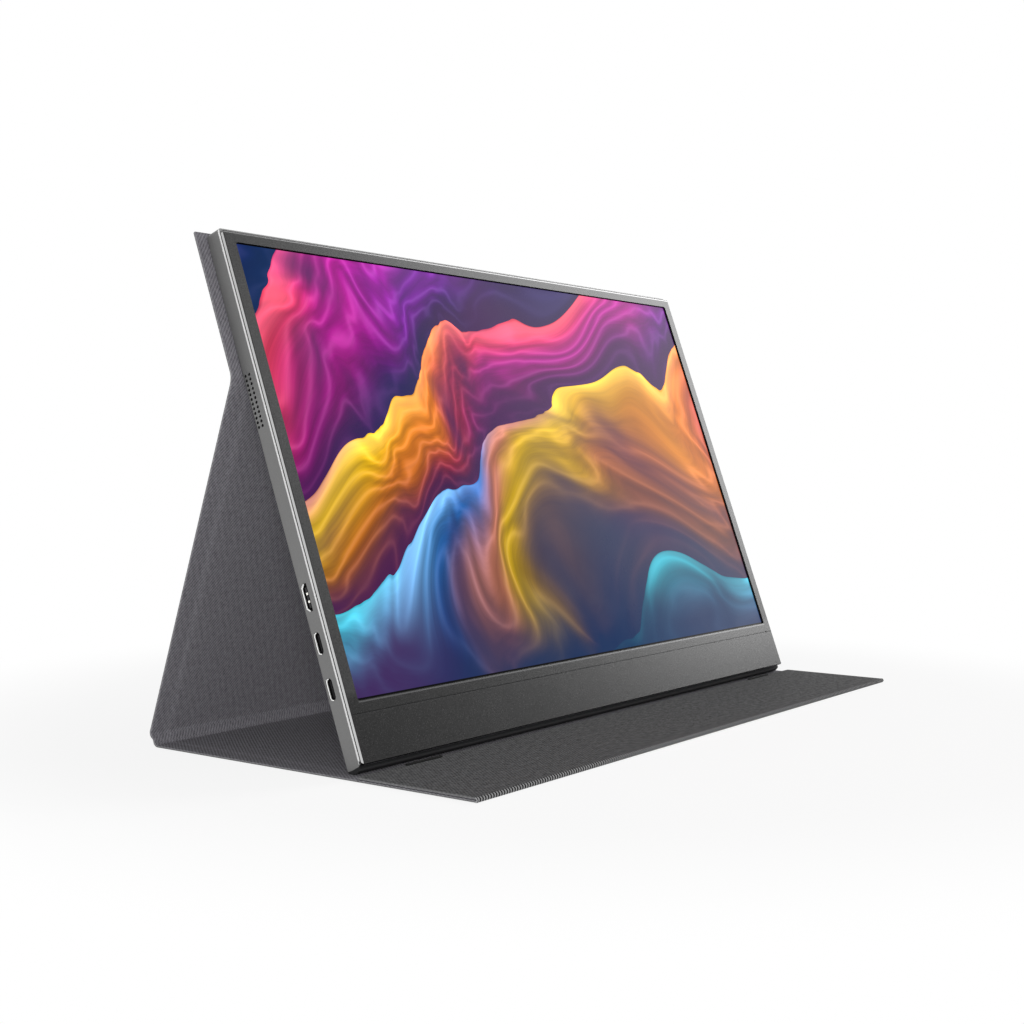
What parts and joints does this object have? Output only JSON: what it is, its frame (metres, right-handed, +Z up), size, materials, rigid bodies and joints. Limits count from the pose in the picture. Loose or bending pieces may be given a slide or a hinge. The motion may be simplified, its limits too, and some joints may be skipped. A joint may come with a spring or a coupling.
{
  "type": "portable monitor with cover",
  "caption": "Slim portable monitor that stands on its folding fabric cover, with ports and a speaker grille in the side and a flap folded back in front.",
  "frame": {"origin": "on the table, under the middle of the whole part's box", "axes": "+Z up, the screen faces -Y, +X to the right as seen from in front of the screen"},
  "size_m": [0.368, 0.1752, 0.2167],
  "materials": {
    "shell_metal": "fine bead-blasted and anodised, grey",
    "bezel_metal": "brushed and anodised dark grey, with bright cut edges",
    "chin_metal": "brushed and anodised dark grey",
    "button_metal": "satin anodised",
    "screen_glass": "lit picture under a satin polariser",
    "film": "white film",
    "acrylic": "clear acrylic",
    "tray_steel": "plated steel",
    "lamp": "phosphor lamps on a white strip",
    "board_green": "solder mask with black chips",
    "flex_amber": "polyimide flex",
    "wire_red": "insulated wire",
    "socket_steel": "bright plated sheet",
    "contact_black": "black moulding",
    "speaker_black": "black moulding",
    "mesh_black": "acoustic mesh",
    "cover_outer": "fine diagonal weave, coated",
    "cover_inner": "fine diagonal weave lining",
    "cover_board": "stiff board",
    "magnet_steel": "plated magnet",
    "stop_rubber": "matt black"
  },
  "bodies": {
    "monitor": {"rear_shell": "shell_metal", "front_frame": "bezel_metal", "chin_cover": "chin_metal", "lcd_panel": "screen_glass", "optical_films": "film", "reflector_sheet": "film", "light_guide": "acrylic", "backlight_tray": "tray_steel", "magnet_plate": "tray_steel", "board_screws": "tray_steel", "led_strip": "lamp", "panel_driver_board": "board_green", "main_board": "board_green", "button_board": "board_green", "panel_flex": "flex_amber", "display_cable": "flex_amber", "button_cable": "flex_amber", "speaker_wires": "wire_red", "mini_hdmi_socket": "socket_steel", "usb_c_socket_upper": "socket_steel", "usb_c_socket_lower": "socket_steel", "mini_hdmi_contacts": "contact_black", "usb_c_contacts": "contact_black", "headphone_socket": "contact_black", "speaker_left": "speaker_black", "speaker_right": "speaker_black", "speaker_mesh_left": "mesh_black", "speaker_mesh_right": "mesh_black", "upper_outer_skin": "cover_outer", "upper_inner_skin": "cover_inner", "upper_board": "cover_board", "upper_magnets": "magnet_steel"},
    "leg": {"leg_outer_skin": "cover_outer", "leg_board": "cover_board", "leg_inner_skin": "cover_inner"},
    "spine": {"spine_outer_skin": "cover_outer", "spine_inner_skin": "cover_inner"},
    "base": {"base_outer_skin": "cover_outer", "base_board": "cover_board", "base_inner_skin": "cover_inner"},
    "flap": {"flap_outer_skin": "cover_outer", "flap_board": "cover_board", "flap_magnets": "magnet_steel", "flap_inner_skin": "cover_inner", "rubber_stops": "stop_rubber"},
    "power_key": {"power_button": "button_metal"},
    "minus_key": {"minus_button": "button_metal"},
    "plus_key": {"plus_button": "button_metal"}
  },
  "joints": [
    {"name": "leg_fold", "type": "hinge", "parent": "monitor", "child": "leg", "pos_m": [0, 0.03693, 0.15508], "axis": [-1, 0, 0], "range_deg": [0, 38.3]},
    {"name": "spine_fold", "type": "hinge", "parent": "leg", "child": "spine", "pos_m": [0, 0.08715, 0.0055], "axis": [1, 0, 0], "range_deg": [-0.5, 53.4]},
    {"name": "base_fold", "type": "hinge", "parent": "spine", "child": "base", "pos_m": [0, 0.08365, 0.0005], "axis": [1, 0, 0], "range_deg": [-0.5, 54.9]},
    {"name": "flap_fold", "type": "hinge", "parent": "base", "child": "flap", "pos_m": [0, -0.08715, 0.00105], "axis": [1, 0, 0], "range_deg": [0, 180]},
    {"name": "power_press", "type": "slide", "parent": "monitor", "child": "power_key", "axis": [-1, 0, 0], "range_m": [0, 0.0004], "stiffness_N_per_m": 2000, "springref_m": -0.0004},
    {"name": "minus_press", "type": "slide", "parent": "monitor", "child": "minus_key", "axis": [-1, 0, 0], "range_m": [0, 0.0004], "stiffness_N_per_m": 2000, "springref_m": -0.0004},
    {"name": "plus_press", "type": "slide", "parent": "monitor", "child": "plus_key", "axis": [-1, 0, 0], "range_m": [0, 0.0004], "stiffness_N_per_m": 2000, "springref_m": -0.0004}
  ],
  "couplings": [
    {"joint": "spine_fold", "follows": "leg_fold", "ratio": 1.3819},
    {"joint": "base_fold", "follows": "leg_fold", "ratio": 1.4191}
  ]
}
